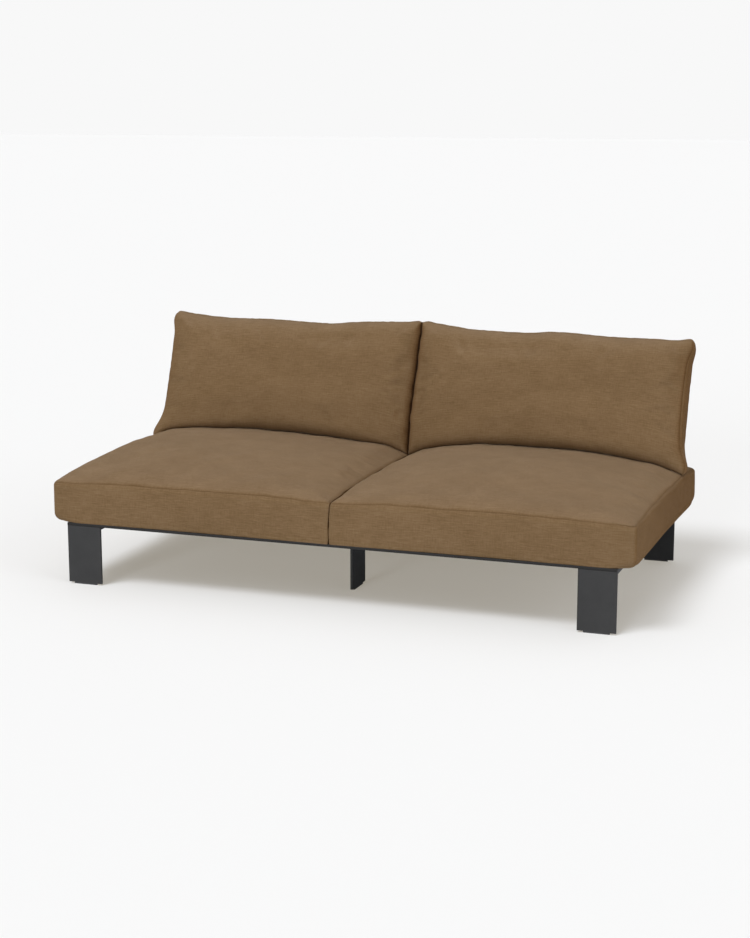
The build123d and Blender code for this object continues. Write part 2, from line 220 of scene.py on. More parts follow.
# Soft hollows: place as shares of the half width and half length, reach in the same shares, depth
HOLLOW_MARGIN = 0.030
SEAT_HOLLOWS = {
    "left": ((-0.05, -0.58, 0.55, 0.22, 0.0045), (0.55, 0.10, 0.22, 0.40, 0.0020)),
    "right": ((0.10, -0.60, 0.55, 0.22, 0.0060), (0.62, -0.20, 0.14, 0.40, 0.0025)),
}
BACK_HOLLOWS = {
    "left": (
        (0.40, 0.70, 0.50, 0.16, 0.0095), (-0.55, -0.10, 0.20, 0.60, 0.0030),
        (0.80, 0.10, 0.08, 0.45, 0.0030), (0.10, -0.20, 0.35, 0.25, -0.0030),
    ),
    "right": (
        (-0.30, 0.70, 0.48, 0.16, 0.0130), (-0.66, -0.45, 0.22, 0.20, 0.0045),
        (0.76, -0.05, 0.10, 0.55, 0.0035), (0.15, -0.10, 0.30, 0.35, -0.0030),
    ),
}

# Covers of each row. Waves of the face: height, size, stretch across and along, and step of the seed,
# within a band of heights over the base
COVERS = {
    "seat": {
        "depth": SEAT_BOXING,
        "base_edge": SEAT_BASE_EDGE,
        "hem": SEAT_HEM,
        "hollows": SEAT_HOLLOWS,
        "waves": ((0.0022, 0.30, (1.0, 1.0), 0), (0.0009, 0.11, (1.0, 1.0), 20)),
        "wave_band": (0.06, 0.15),
        "seeds": {"left": 11, "right": 12},
    },
    "back": {
        "depth": BACK_EDGE,
        "base_edge": BACK_REAR_EDGE,
        "hem": BACK_HEM,
        "hollows": BACK_HOLLOWS,
        "waves": ((0.0035, 0.26, (1.0, 0.7), 0), (0.0013, 0.10, (1.0, 0.6), 20)),
        "wave_band": (0.06, 0.13),
        "seeds": {"left": 3, "right": 8},
    },
}

# Fabric noises: scale along and across the yarns, detail, roughness
FABRIC_NOISES = {
    "slub": ((24, 260, 1), 3.0, 0.6),
    "thick": ((17, 330, 1), 1.0, 0.5),
    "thread": ((90, 700, 1), 2.0, 0.6),
    "warp": ((380, 36, 1), 2.0, 0.5),
    "patch": ((9, 14, 1), 4.0, 0.6),
    "rubbed": ((3.2, 4.0, 1), 2.0, 0.5),
}
FABRIC_SHARES = {"slub": 0.46, "thread": 0.28, "warp": 0.26}
FABRIC_YARNS = ((0.134, 0.082, 0.038), (0.196, 0.126, 0.068))
FABRIC_THICK_YARN = (0.262, 0.180, 0.106)
FABRIC_TONE_BAND = (0.35, 0.65)
FABRIC_THICK_BAND = (0.66, 0.78, 0.0, 0.30)

# Wear of the fabric: band of its noise, dull colour, pale colour
FABRIC_WEAR = {
    "patch": ((0.34, 0.66), (0.94, 0.93, 0.91), (1.05, 1.055, 1.065)),
    "rubbed": ((0.35, 0.65), (0.965, 0.96, 0.95), (1.03, 1.035, 1.045)),
}
# Band of a normal's part over which the painted sheen and the painted side shade below turn on
FABRIC_FACING_BAND = (0.5, 0.95)
# Painted sheen on the fabric where it faces up: factors and added colour that make it paler and greyer there
FABRIC_PAINTED_TOP_SHEEN = {"times": (1.08, 1.08, 1.08), "plus": (0.013, 0.014, 0.015)}
# Painted shade on the fabric's sideways faces: tone at their front and at their rear, and the band of depth
# between them
FABRIC_PAINTED_SIDE_TONES = ((1.07, 0.97, 0.83), (0.86, 0.72, 0.57))
FABRIC_PAINTED_SIDE_DEPTH = (-0.5, 0.4)
# Painted shade in and beside the seams, partly the seams' own darker tone: its colour, and bands of distance
# from a seam with how much of it each takes
SEAM_SHADE = (0.45, 0.36, 0.26)
SEAM_SHADES = ((0.0015, 0.0090, 0.16), (0.0006, 0.0024, 0.42))
WEAVE_PITCHES = (0.0024, 0.0021)
WEAVE_RELIEF = {"slub": 1.2, "thread": 0.9, "depth": 0.0005, "strength": 0.7}
FABRIC_ROUGHNESS = (0.3, 0.7, 0.78, 0.92)
FABRIC_SHEEN = {"sheen_weight": 0.12, "sheen_roughness": 0.30, "sheen_tint": (1.0, 0.85, 0.66)}

# Middle band of a noise that most finishes spread over
NOISE_BAND = (0.3, 0.7)

# Powder coat: even noises (scale, detail, roughness), colours, and the heights over which it turns darker,
# as painted shade under the cushions, on the rails and all above them
COATING_NOISES = {"fine": (900.0, 2.0, 0.5), "cloud": (9.0, 4.0, 0.6)}
COATING_TONES = ((0.0260, 0.0256, 0.0254), (0.0370, 0.0364, 0.0360))
COATING_SPECK = {"band": (0.62, 0.72, 0.0, 0.25), "colour": (0.075, 0.075, 0.075)}
COATING_PAINTED_SHADE = {"heights": (0.1905, 0.1925), "colour": (0.45, 0.42, 0.40)}
COATING_ROUGHNESS = (0.50, 0.62)
COATING_RELIEF = (0.0003, 0.5)
COATING_SPECULAR = 0.2

# Metals: stretched marks (scale, detail, roughness and any turn), even cloud, tones, roughness, relief
METALS = {
    "bolt_steel": (
        ((300, 300, 1400), 3.0, 0.6), (160.0, 3.0, 0.6),
        ((0.36, 0.36, 0.37), (0.52, 0.51, 0.50)), (0.28, 0.48), (0.0001, 0.5),
    ),
    "slider_metal": (
        ((2500, 400, 400), 2.0, 0.6, (0.4, 0.1, 0.7)), (220.0, 3.0, 0.6),
        ((0.10, 0.095, 0.09), (0.19, 0.18, 0.17)), (0.30, 0.50), (0.0001, 0.4),
    ),
}

# Moulded plastics: dark and light tone, pebble scale, roughness
PLASTICS = {
    "glide_nylon": ((0.016, 0.016, 0.017), (0.028, 0.028, 0.029), 1200.0, (0.42, 0.58)),
    "cap_plastic": ((0.030, 0.030, 0.031), (0.045, 0.045, 0.045), 900.0, (0.37, 0.53)),
}
PLASTIC_PEBBLE = (2.0, 0.5)
PLASTIC_CLOUD = (40.0, 4.0, 0.65)
PLASTIC_SCUFF = ((60, 700, 200), 2.0, 0.6, (0.3, 0.2, 0.5))
PLASTIC_SCUFF_BAND = (0.62, 0.75, 0.0, 0.3)
PLASTIC_SCUFF_TONE = (0.14, 0.14, 0.14)
PLASTIC_RELIEF = (0.0002, 0.5)

# Fillings: dark and light tone, scale of their cells
FILLINGS = {
    "foam": ((0.62, 0.58, 0.46), (0.78, 0.75, 0.64), (600, 600, 600)),
    "fibre_fill": ((0.74, 0.74, 0.73), (0.86, 0.86, 0.85), (90, 900, 300)),
}
FILLING_NOISE = (3.0, 0.7)
FILLING_ROUGHNESS = 0.95
FILLING_RELIEF = (0.001, 0.8)

# Zip: pitches and places in metres from its middle line
ZIP_TOOTH_PITCH = 0.0024
ZIP_YARN_PITCH = 0.0011
ZIP_COIL_HALF = 0.0032
ZIP_STITCH = {"place": 0.0095, "half": 0.0006, "pitch": 0.0034, "gap": -0.3}
ZIP_YARN_RELIEF = 0.35
ZIP_CLOUD = (60.0, 3.0, 0.6)
ZIP_TAPE_TONES = ((0.072, 0.046, 0.027), (0.098, 0.066, 0.040))
ZIP_COIL_TONES = ((0.045, 0.030, 0.020), (0.120, 0.082, 0.052))
ZIP_THREAD = (0.20, 0.135, 0.080)
ZIP_ROUGHNESS = (0.88, 0.45)
ZIP_RELIEF = (0.0006, 0.9)

# Camera
CAMERA_PLACE = (1.95969, -5.63204, 1.55432)
CAMERA_YAW = 0.3389
CAMERA_PITCH = 0.2008
CAMERA_LENS = 70.69
CAMERA_REACH = 200.0

# Light: a high key, a low fill, a weak side lamp, an even sky and a pale floor that together come to about 1
FLOOR_SHOWN = 0.939
FLOOR_LIFT = 0.31
FLOOR_GLOW = (0.920, 0.835, 0.680)
SKY = {"even": 0.18, "overhead": 0.50, "rear": 0.40}
SKY_ON_LEVEL = {"even": 0.95, "overhead": 0.50, "rear": 0.17}
LAMPS = {
    "key": {"strength": 1.75, "elevation": 60.0, "azimuth": -28.0, "spread": 24.0},
    "fill": {"strength": 1.05, "elevation": 13.0, "azimuth": -6.0, "spread": 16.0},
    "side": {"strength": 0.70, "elevation": 20.0, "azimuth": 75.0, "spread": 40.0},
}
FLOOR_HALF = 60.0
FLOOR_ROUGHNESS = 0.95


# ---- Cushion lattice


def ring_rows(half):
    """Places across a panel: close rows along both seams and even cells between them."""
    rows = np.array(SEAM_ROWS[:-1])
    inner = half - SEAM_ROWS[-1]
    count = max(2, round(2 * inner / CELL))
    middle = np.linspace(-inner, inner, count + 1)
    return np.concatenate([rows - half, middle, (half - rows)[::-1]])


def height_rows(height, base_edge, hem):
    """Places up a boxing strip: close rows at its base, its hem and its top seam."""
    base = [share * base_edge for share in BASE_ROW_SHARES]
    near_hem = [hem + row for row in HEM_ROWS]
    top = [height - row for row in SEAM_ROWS][::-1]
    count = max(2, round((top[0] - near_hem[-1]) / CELL))
    middle = np.linspace(near_hem[-1], top[0], count + 1)[1:-1]
    places = sorted(set(base) | set(near_hem) | set(middle) | set(top))
    return np.array([p for p in places if 0 <= p <= height])


def grid_quads(ids):
    return np.stack([ids[:-1, :-1], ids[1:, :-1], ids[1:, 1:], ids[:-1, 1:]], -1).reshape(-1, 4)


def shell_lattice(us, vs, ws):
    """The closed shell of a box lattice: places, quads and each quad's panel (0 to 5)."""
    shape = (len(us), len(vs), len(ws))
    i, j, k = np.indices(shape)
    outside = (i == 0) | (i == shape[0] - 1) | (j == 0) | (j == shape[1] - 1)
    outside |= (k == 0) | (k == shape[2] - 1)
    ids = np.full(shape, -1)
    ids[outside] = np.arange(outside.sum())
    places = np.stack([us[i[outside]], vs[j[outside]], ws[k[outside]]], -1)
    panels = [
        grid_quads(ids[:, :, 0])[:, ::-1],
        grid_quads(ids[:, :, -1]),
        grid_quads(ids[:, 0, :].T)[:, ::-1],
        grid_quads(ids[:, -1, :].T),
        grid_quads(ids[0, :, :])[:, ::-1],
        grid_quads(ids[-1, :, :]),
    ]
    kinds = np.concatenate([np.full(len(p), n) for n, p in enumerate(panels)])
    return places, np.concatenate(panels), kinds, ids


def rounded_plan(places, half_u, half_v, inset, radius):
    """A rectangle's lattice points, inset and with round corners, and their outward direction."""
    in_u, in_v = half_u - inset, half_v - inset
    u, v = places[:, 0] * (in_u / half_u), places[:, 1] * (in_v / half_v)
    core_u = np.clip(u, radius - in_u, in_u - radius)
    core_v = np.clip(v, radius - in_v, in_v - radius)
    du, dv = u - core_u, v - core_v
    length = np.maximum(np.hypot(du, dv), TINY)
    reach = np.maximum(np.abs(du), np.abs(dv)) / length
    return core_u + du * reach, core_v + dv * reach, du / length, dv / length


def quarter_edge(height, radius):
    """How far an edge rounded at that radius lies inside its wall, at a height above its base."""
    below = np.clip(radius - height, 0, radius)
    return radius - np.sqrt(radius**2 - below**2)


def smooth(x, low, high):
    t = np.clip((x - low) / (high - low), 0, 1)
    return t * t * (3 - 2 * t)


def drift(places, size, seed):
    """Soft seeded noise between about -1 and 1 from a few sine waves."""
    generator = np.random.default_rng(seed)
    total = np.zeros(len(places))
    for _ in range(DRIFT_WAVES):
        direction = generator.normal(size=places.shape[1])
        direction /= np.linalg.norm(direction)
        pitch = size * generator.uniform(*DRIFT_PITCHES)
        total += np.sin(places @ direction * 2 * math.pi / pitch + generator.uniform(0, 2 * math.pi))
    return total / DRIFT_DIVISOR


def hollows(places, half_u, half_v, given):
    """Depth of a panel's soft hollows at each lattice place, none at its seams and elsewhere."""
    u, v, w = places.T
    edge = np.minimum(half_u - np.abs(u), half_v - np.abs(v))
    depth = np.zeros(len(places))
    for at_s, at_t, reach_s, reach_t, most in given:
        far_s, far_t = (u / half_u - at_s) / reach_s, (v / half_v - at_t) / reach_t
        depth += most * np.exp(-(far_s**2) - far_t**2)
    return depth * (1 - np.exp(-edge / HOLLOW_MARGIN)) * (w > w.max() - ON_EDGE)


def placed(name, data):
    """A new object in the scene."""
    piece = bpy.data.objects.new(name, data)
    bpy.context.scene.collection.objects.link(piece)
    return piece


def make_mesh(name, points, quads, weave, seam):
    """A smooth mesh with its weave coordinates and its distance from the nearest seam."""
    mesh = bpy.data.meshes.new(name)
    mesh.from_pydata(points.tolist(), [], quads.tolist())
    layer = mesh.uv_layers.new(name="weave")
    layer.data.foreach_set("uv", weave.reshape(-1).astype(np.float32))
    attribute = mesh.attributes.new("seam", "FLOAT", "POINT")
    attribute.data.foreach_set("value", seam.astype(np.float32))
    mesh.polygons.foreach_set("use_smooth", [True] * len(quads))
    mesh.validate()
    mesh.update()
    return placed(name, mesh)


def weave_places(places, quads, kinds):
    """Weave coordinates of every corner: the yarns run level on each panel."""
    corners = places[quads]
    flat, front, side = (corners[..., pair] for pair in ([0, 1], [0, 2], [1, 2]))
    kind = kinds[:, None, None]
    return np.where(kind < 2, flat, np.where(kind < 4, front, side))


def vertex_normals(points, quads):
    a, b, c, d = (points[quads[:, n]] for n in range(4))
    face = np.cross(c - a, d - b)
    normal = np.zeros_like(points)
    for n in range(4):
        np.add.at(normal, quads[:, n], face)
    return normal / np.maximum(np.linalg.norm(normal, axis=1, keepdims=True), TINY_AREA)


def seam_distance(places, half_u, half_v, seam_height, hem):
    """Distance of each lattice place from its nearest seam, on the panel or down the boxing."""
    edge = np.minimum(half_u - np.abs(places[:, 0]), half_v - np.abs(places[:, 1]))
    down = seam_height - places[:, 2]
    to_top = np.where(down < ON_EDGE, edge, np.where(places[:, 2] < ON_EDGE, FAR_FROM_SEAM, down))
    to_hem = np.where(edge < ON_EDGE, np.abs(places[:, 2] - hem) + HEM_SOFTNESS, FAR_FROM_SEAM)
    return np.minimum(to_top, to_hem)


def sew(points, quads, places, seam, seed):
    """Pinch the seams in and gather the fabric beside them."""
    normal = vertex_normals(points, quads)
    generator = np.random.default_rng(seed)
    phase = generator.uniform(0, 2 * math.pi, 3)
    along = places[:, 0] + places[:, 1] + PUCKER_SLANT * places[:, 2]
    shift = PUCKER_SHIFT["most"] * drift(places, PUCKER_SHIFT["size"], seed + PUCKER_SHIFT["seed"])
    second_pitch = PUCKER_SECOND["pitch"] * PUCKER_PITCH
    wave = np.sin(2 * math.pi * along / PUCKER_PITCH + phase[0] + 2 * shift)
    wave += PUCKER_SECOND["share"] * np.sin(2 * math.pi * along / second_pitch + phase[1] - 3 * shift)
    wave *= 0.5 + 0.5 * np.sin(2 * math.pi * along / PUCKER_GROUP_PITCH + phase[2] + shift)
    gather = PUCKER_HEIGHT * wave * np.exp(-seam / PUCKER_REACH) * smooth(seam, 0.0, PUCKER_SEAM_CLEAR)
    pinch = -SEAM_DEPTH * np.exp(-((seam / SEAM_SPREAD) ** 2))
    return points + normal * (gather + pinch)[:, None]


# ---- Cloth


def cubic_weights(coarse, fine):
    """A matrix that carries values at even coarse places smoothly over to fine ones."""
    step = coarse[1] - coarse[0]
    at = np.clip((fine - coarse[0]) / step, 0, len(coarse) - 1)
    start = np.minimum(at.astype(int), len(coarse) - 2)
    f = at - start
    shares = (
        -0.5 * f + f**2 - 0.5 * f**3,
        1 - 2.5 * f**2 + 1.5 * f**3,
        0.5 * f + 2 * f**2 - 1.5 * f**3,
        -0.5 * f**2 + 0.5 * f**3,
    )
    weights = np.zeros((len(fine), len(coarse)))
    for offset, share in zip((-1, 0, 1, 2), shares):
        np.add.at(weights, (np.arange(len(fine)), np.clip(start + offset, 0, len(coarse) - 1)), share)
    return weights


def carry_over(moves, coarse_ids, coarse_rows, fine_ids, fine_rows):
    """Moves of a coarse lattice's points, carried panel by panel to the points of a fine lattice."""
    carried = np.zeros((fine_ids.max() + 1, 3))
    weights = [cubic_weights(c, f) for c, f in zip(coarse_rows, fine_rows)]
    for axis in range(3):
        first, second = (n for n in range(3) if n != axis)
        for end in (0, -1):
            panel = moves[np.take(coarse_ids, end, axis)]
            fine = np.einsum("ai,bj,ijc->abc", weights[first], weights[second], panel)
            carried[np.take(fine_ids, end, axis)] = fine
    return carried


def settle(points, quads, gather, pinned, shrink):
    """Run cloth with pressure inside on a closed cover and return where its points come to rest."""
    mesh = bpy.data.meshes.new("cover_cloth")
    mesh.from_pydata(points.tolist(), [], quads.tolist())
    cover = placed("cover_cloth", mesh)
    scene = bpy.context.scene
    for name, weights in (("gather", gather), ("pinned", pinned)):
        group = cover.vertex_groups.new(name=name)
        for n in np.nonzero(weights > 0)[0]:
            group.add([int(n)], float(weights[n]), "REPLACE")
    cloth = cover.modifiers.new("cloth", "CLOTH")
    settings = cloth.settings
    for key, value in SIM_CLOTH.items():
        setattr(settings, key, value)
    settings.effector_weights.gravity = 0
    settings.shrink_max = shrink
    cloth.collision_settings.use_collision = False
    cloth.point_cache.frame_end = SIM_FRAMES
    for n in range(1, SIM_FRAMES + 1):
        scene.frame_set(n)
    rested = cover.evaluated_get(bpy.context.evaluated_depsgraph_get()).data
    found = np.zeros(len(points) * 3)
    rested.vertices.foreach_get("co", found)
    bpy.data.objects.remove(cover)
    bpy.data.meshes.remove(mesh)
    scene.frame_set(1)
    return found.reshape(-1, 3)


def blurred(moves, quads, rounds):
    """Each point's move, averaged again and again with its neighbours'."""
    edges = np.concatenate([quads[:, [n, (n + 1) % 4]] for n in range(4)])
    count = np.maximum(np.bincount(edges[:, 0], minlength=len(moves)), 1)[:, None]
    for _ in range(rounds):
        total = np.zeros_like(moves)
        np.add.at(total, edges[:, 0], moves[edges[:, 1]])
        moves = 0.5 * moves + 0.5 * total / count
    return moves


def cloth_moves(form, half_u, half_v, depth, fine_ids, fine_rows, row):
    """How far the settled cloth moves each point of the fine lattice: its folds, and part of its swell."""
    rows = [np.linspace(-half, half, round(2 * half / SIM_CELL) + 1) for half in (half_u, half_v)]
    rows.append(np.linspace(0, depth, round(depth / SIM_CELL) + 1))
    places, quads, _, ids = shell_lattice(*rows)
    points = form(places)
    edge = np.minimum(half_u - np.abs(places[:, 0]), half_v - np.abs(places[:, 1]))
    on_top, on_base = places[:, 2] > depth - ON_EDGE, places[:, 2] < ON_EDGE
    to_seam = np.where(on_top, edge, np.where(on_base, FAR_FROM_SEAM, depth - places[:, 2]))
    gather = np.exp(-((to_seam / SIM_GATHER_REACH) ** 2))
    gather *= 1 - SIM_FOOT_CALM * smooth(-places[:, 1] / half_v, *SIM_CALM_GATHER)
    moves = settle(points, quads, gather, on_base.astype(float), SIM_GATHERS[row]) - points
    swell = blurred(moves, quads, SIM_SMOOTH_ROUNDS)
    moves = moves - swell + SIM_SWELL_SHARE * swell
    size = np.maximum(np.linalg.norm(moves, axis=1, keepdims=True), TINY)
    moves *= SIM_CAPS[row] * np.tanh(size / SIM_CAPS[row]) / size
    at_edge = SIM_EDGE_SHARES[row]
    near_foot = smooth(-places[:, 1] / half_v, *SIM_CALM_MOVES)
    moves *= (at_edge + (1 - at_edge) * smooth(to_seam * on_top, 0.0, SIM_EDGE_REACH))[:, None]
    moves *= (1 - SIM_FOOT_CALM * near_foot)[:, None]
    return carry_over(moves, ids, rows, fine_ids, fine_rows)


def soft_cover(form, row, side, half_u, half_v):
    """A cover in its own directions, settled and sewn, its lattice, and what its mesh needs."""
    given = COVERS[row]
    depth, hem, seed = given["depth"], given["hem"], given["seeds"][side]
    rows = [ring_rows(half_u), ring_rows(half_v), height_rows(depth, given["base_edge"], hem)]
    places, quads, kinds, ids = shell_lattice(*rows)
    points = form(places)
    points += cloth_moves(form, half_u, half_v, depth, ids, rows, row)
    points[:, 2] -= hollows(places, half_u, half_v, given["hollows"][side])
    on_face = smooth(points[:, 2], *given["wave_band"])
    for most, size, stretch, step in given["waves"]:
        points[:, 2] += most * drift(places[:, :2] * np.array(stretch), size, seed + step) * on_face
    seam = seam_distance(places, half_u, half_v, depth, hem)
    points = sew(points, quads, places, seam, seed)
    return points, places, (quads, weave_places(places, quads, kinds), seam)


# ---- Seat cushions


def face_shares(places, side, half_u, half_v):
    """Places as shares of the half sizes: across, along, and outward from the sofa's middle."""
    s, t = places[:, 0] / half_u, places[:, 1] / half_v
    return s, t, s * SIDES[side]


def seat_edges(places, side, half_u, half_v):
    """How near each place is to an outer corner, and whether it lies along the front wall."""
    u, v, _ = places.T
    _, t, out = face_shares(places, side, half_u, half_v)
    corner = np.hypot(half_u - np.abs(u), half_v - np.abs(v))
    at_corner = np.exp(-((corner / SEAT_CORNER_REACH) ** 2))
    at_corner = at_corner * (out > 0)
    along_front = (t < -1 + ON_EDGE) * (1 - at_corner)
    return at_corner, along_front


def seat_inset(w, at_corner, along_front):
    """How far a seat cushion's wall lies inside its widest line: more at its base and its top seam."""
    base_edge = SEAT_BASE_EDGE + (SEAT_FRONT_BASE_EDGE - SEAT_BASE_EDGE) * along_front
    inset = quarter_edge(w, base_edge + SEAT_CORNER_EDGE * at_corner)
    return inset + SEAT_TOP_EDGE * smooth(w, SEAT_BOXING - SEAT_TOP_EDGE_REACH, SEAT_BOXING)


def seat_plan(places, side, half_u, half_v):
    """A seat cushion from above: round corners, walls that bulge at half height and are drawn in."""
    w = places[:, 2]
    s, t, out = face_shares(places, side, half_u, half_v)
    inset = seat_inset(w, *seat_edges(places, side, half_u, half_v))
    front_radius = np.where(out > 0, SEAT_CORNERS["outer_front"], SEAT_CORNERS["inner_front"])
    rear_radius = np.where(out > 0, SEAT_CORNERS["outer_rear"], SEAT_CORNERS["inner_rear"])
    trim = SEAT_CORNER_TRIM["share"] * np.minimum(inset, SEAT_CORNER_TRIM["most"])
    radius = np.where(t < 0, front_radius, rear_radius) - trim
    x, y, nx, ny = rounded_plan(places, half_u, half_v, inset, radius)
    wall = np.maximum(np.abs(s), np.abs(t)) > 1 - ON_EDGE
    bulge = SEAT_BULGE * np.sin(math.pi * w / SEAT_BOXING) * wall
    bulge *= 1 - np.minimum(np.abs(s), np.abs(t)) ** 2
    least, gain = SEAT_INNER_BULGE
    bulge *= (1 - smooth(ny, *SEAT_BULGE_FADE)) * np.where(out < 0, least + gain * np.abs(ny), 1.0)
    x = x + nx * bulge - SEAT_DRAW_IN * s * (1 - t**2) * (out > 0)
    spread = SEAT_SPREAD + SEAT_REAR_SPREAD * np.clip(t, 0, 1)
    x = x + SIDES[side] * spread * np.clip(out, 0, 1) ** 2
    y = y + ny * bulge + SEAT_DRAW_IN * np.clip(-t, 0, 1) * (1 - s**2)
    return x, y


def seat_crown(places, side, half_u, half_v, height):
    """How far a seat cushion's top panel rises over its seams."""
    inner_arch, outer_arch = SEAT_ARCHES["inner"], SEAT_ARCHES[side]
    u, v, _ = places.T
    s, t, out = face_shares(places, side, half_u, half_v)
    power = np.where(out > 0, SEAT_POWERS[side], SEAT_POWERS["inner"])
    rise = (1 - np.abs(s) ** power) * (1 - np.abs(t) ** SEAT_RISE_POWER)
    edge = np.minimum(half_u - np.abs(u), half_v - np.abs(v))
    corner = np.hypot(half_u - np.abs(u), half_v - np.abs(v))
    puff = SEAT_PUFF * (1 - np.exp(-edge / SEAT_PUFF_REACH))
    puff *= 1 - SEAT_CORNER_CALM * np.exp(-((corner / SEAT_CALM_REACH) ** 2)) * (out > 0)
    middle_rise = height - SEAT_BOXING - SEAT_FRONT_ARCH - SEAT_PUFF
    middle_rise -= (inner_arch + outer_arch) / 2
    return middle_rise * rise + puff


def seat_form(places, side, half_u, half_v, height):
    """A box cushion: rounded base edge, drawn-in boxing, arched seams and a crowned top."""
    inner_arch, outer_arch = SEAT_ARCHES["inner"], SEAT_ARCHES[side]
    w = places[:, 2]
    s, t, out = face_shares(places, side, half_u, half_v)
    x, y = seat_plan(places, side, half_u, half_v)
    _, along_front = seat_edges(places, side, half_u, half_v)
    arch = inner_arch + (outer_arch - inner_arch) * (1 + out) / 2
    seam = SEAT_FRONT_ARCH * (1 - s**2) + arch * (1 - t**2)
    top = w > SEAT_BOXING - ON_EDGE
    z = w * (1 + seam / SEAT_BOXING) + top * seat_crown(places, side, half_u, half_v, height)
    rear_band, outer_band = SEAT_DROP_BANDS
    corner_drop = SEAT_REAR_DROP[side] * smooth(t, *rear_band) * smooth(out, *outer_band)
    hem_drop = along_front * SEAT_HEM_DROP * (1 - smooth(w, *SEAT_HEM_BAND))
    z = z - corner_drop * w / SEAT_BOXING - hem_drop
    return np.stack([x, y, z], -1)


def make_seat(side):
    """One side's seat cushion, lying on the deck."""
    low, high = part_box(f"{side}_seat_cover")
    half_u, half_v, height = (high.x - low.x) / 2, (high.y - low.y) / 2, high.z - low.z
    middle = ((low.x + high.x) / 2, (low.y + high.y) / 2, low.z)

    def form(places):
        return seat_form(places, side, half_u, half_v, height)

    points, places, woven = soft_cover(form, "seat", side, half_u, half_v)
    over_frame = points[:, 1] > SEAT_OVERHANG - half_v
    points[:, 2] = np.where(over_frame, np.maximum(points[:, 2], 0), points[:, 2])
    points = points + np.array(middle)
    points[:, 1] = np.minimum(points[:, 1], middle[1] + half_v)
    points[:, 0] = meet(points, places, side, half_u)
    piece = make_mesh(f"{side}_seat_cushion", points, *woven)
    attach(piece, f"{side}_seat_cushion")
    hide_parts(f"{side}_seat_cover", f"{side}_seat_foam")
    return piece


# ---- Back cushions


def top_edge(side, share):
    """Height of the top edge over the cushion's base height, as a smooth curve through its places."""
    shares, heights = np.array(BACK_TOPS[side]).T
    even = np.linspace(*TOP_CURVE_PLACES)
    window = np.hanning(TOP_CURVE_WINDOW)
    padded = np.pad(np.interp(even, shares, heights), TOP_CURVE_WINDOW // 2, "edge")
    return np.interp(share, even, np.convolve(padded, window / window.sum(), "valid"))


def back_box(places, side, half_u, half_v):
    """A back cushion's box: round corners, bulging walls, drawn in at its sides and toward its rear."""
    w = places[:, 2]
    s, t, out = face_shares(places, side, half_u, half_v)
    front_edge = BACK_FRONT_EDGE * smooth(w, BACK_EDGE - BACK_FRONT_EDGE_REACH, BACK_EDGE)
    inset = quarter_edge(w, BACK_REAR_EDGE) + front_edge
    radius = BACK_CORNER - BACK_CORNER_TRIM * inset
    x, y, nx, ny = rounded_plan(places, half_u, half_v, inset, radius)
    wall = np.maximum(np.abs(s), np.abs(t)) > 1 - ON_EDGE
    fade = 1 - np.minimum(np.abs(s), np.abs(t)) ** 2
    bulge = BACK_BULGE * np.sin(math.pi * w / BACK_EDGE) * wall * fade
    bulge *= np.where(out < 0, np.abs(ny), 1.0)
    draw_in = np.where(out > 0, BACK_DRAW_IN["outer"], BACK_DRAW_IN["inner"])
    x = x + nx * bulge - draw_in * s * (1 - t**2)
    outward = np.clip(out, 0, 1) ** BACK_NARROWING_POWER
    x = x - SIDES[side] * BACK_REAR_NARROWING * outward * (1 - w / BACK_EDGE)
    return x, y + ny * bulge


def back_outline(places, side, half_u, half_v):
    """A back cushion's box with a sagging top edge, an arched foot, a flare and eared corners."""
    u, v, w = places.T
    s, t, out = face_shares(places, side, half_u, half_v)
    x, y = back_box(places, side, half_u, half_v)
    y = y + top_edge(side, s) * smooth(t, *BACK_TOP_BAND)
    y = y + BACK_FOOT_ARCH * smooth(-t, *BACK_FOOT_BAND) * (1 - s**2)
    flare = np.clip(out, 0, 1) ** BACK_FLARE_POWER * smooth(-t, *BACK_FLARE_BAND)
    x = x + SIDES[side] * BACK_FLARES[side] * flare
    corner = np.hypot(half_u - np.abs(u), half_v - np.abs(v))
    ear = BACK_EAR * np.exp(-((corner / BACK_EAR_REACH) ** 2)) * w / BACK_EDGE
    y = y + BACK_EAR_HEIGHT * ear * np.sign(v)
    heel = BACK_HEEL_LIFT * np.exp(-((corner / BACK_HEEL_REACH) ** 2))
    y = y + heel * (t < 0) * (1 - w / BACK_EDGE)
    knob = np.hypot(half_u - np.abs(u), half_v - np.abs(v) - BACK_EAR_DROP)
    least, gain = BACK_KNOB_SHARES
    knob = BACK_EAR * np.exp(-((knob / BACK_EAR_REACH) ** 2)) * (least + gain * w / BACK_EDGE)
    return x + BACK_KNOB * knob * SIDES[side] * (out > 0), y


def back_form(places, side, half_u, half_v):
    """A leaning box cushion: flat rear, full front, sagging top edge and eared corners."""
    u, v, w = places.T
    s, t, out = face_shares(places, side, half_u, half_v)
    x, y = back_outline(places, side, half_u, half_v)
    inner_share = np.where(out < 0, BACK_INNER_SHOULDER, 1.0)
    edge = np.minimum((half_u - np.abs(u)) * inner_share, half_v - np.abs(v))
    front = w > BACK_EDGE - ON_EDGE
    powers = BACK_RISE_POWERS
    rise_across = 1 - np.abs(s) ** powers["across"]
    rise = rise_across * (1 - np.abs(t) ** np.where(t > 0, powers["top"], powers["foot"]))
    puff = BACK_PUFF * (1 - np.exp(-edge / BACK_PUFF_REACH))
    z = w + front * ((BACK_SWELL - BACK_PUFF) * rise + puff)
    corner = np.hypot(half_u - np.abs(u), half_v - np.abs(v))
    z = z - BACK_CORNER_SINK * np.exp(-((corner / BACK_CORNER_SINK_REACH) ** 2)) * w / BACK_EDGE
    return np.stack([x, y + half_v, z], -1)


